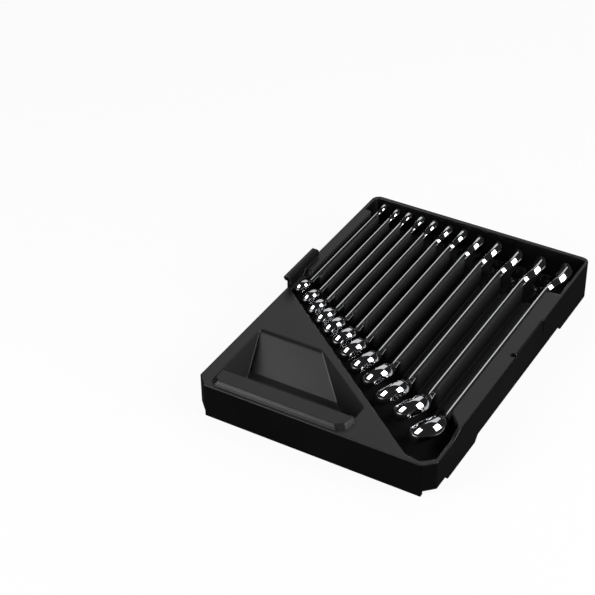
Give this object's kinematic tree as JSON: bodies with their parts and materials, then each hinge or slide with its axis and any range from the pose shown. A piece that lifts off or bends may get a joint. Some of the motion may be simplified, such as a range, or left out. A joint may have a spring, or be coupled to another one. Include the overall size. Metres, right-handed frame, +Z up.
{
  "type": "wrench tray",
  "caption": "Flat black moulded bench tray with a scoop pocket, a side hook tab and a graded row of leaning chrome combination wrenches",
  "frame": {"origin": "centre of the bounding box on the plane that the tray stands on", "axes": "+X to the right, from the smallest wrench to the largest; +Y to the back, from the scoop pocket to the open ends of the wrenches; +Z up"},
  "size_m": [0.2108, 0.3, 0.0446],
  "materials": {
    "tray": "satin, fine moulded texture",
    "wrench": "polished"
  },
  "bodies": {
    "root": {"tray": "tray", "wrench_8": "wrench", "wrench_9": "wrench", "wrench_10": "wrench", "wrench_11": "wrench", "wrench_12": "wrench", "wrench_13": "wrench", "wrench_14": "wrench", "wrench_15": "wrench", "wrench_16": "wrench", "wrench_17": "wrench", "wrench_18": "wrench", "wrench_19": "wrench"}
  },
  "joints": []
}
